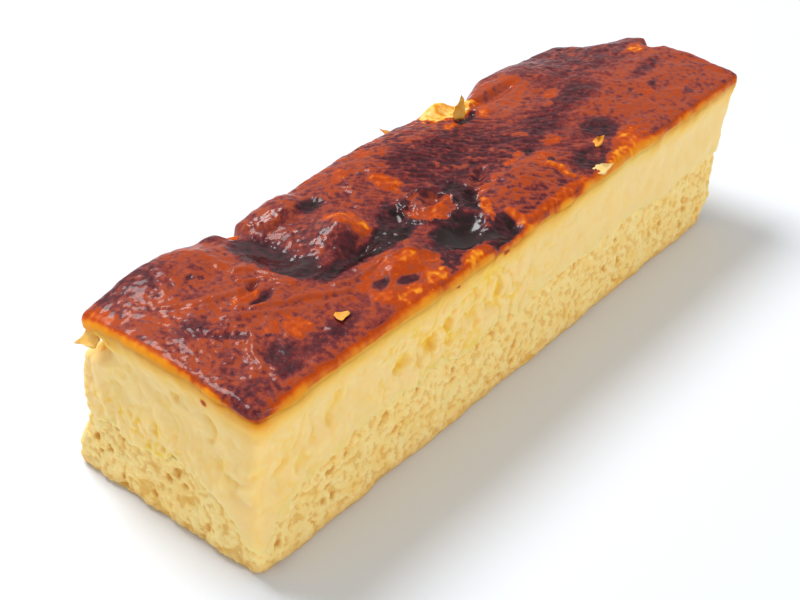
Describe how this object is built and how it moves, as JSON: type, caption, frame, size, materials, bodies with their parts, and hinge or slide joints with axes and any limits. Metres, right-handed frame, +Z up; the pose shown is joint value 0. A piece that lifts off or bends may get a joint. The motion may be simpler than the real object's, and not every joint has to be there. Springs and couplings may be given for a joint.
{
  "type": "burnt cheesecake bar",
  "caption": "Bar of burnt cheesecake: a thick layer of baked cheese with a dark caramelised, blistered crust, on a crumbly sponge base.",
  "frame": {"origin": "middle of the bounding box in X and Y, at the underside that the bar stands on", "axes": "+X along the bar away from its near end, +Y towards the side that leans in, +Z up through the crust"},
  "size_m": [0.126, 0.0402, 0.0319],
  "materials": {
    "sponge_crumb": "dry open crumb",
    "baked_cheese": "soft sides under a wet, glossy burnt crust"
  },
  "bodies": {
    "root": {"sponge_base": "sponge_crumb", "cheese_layer": "baked_cheese"}
  },
  "joints": []
}
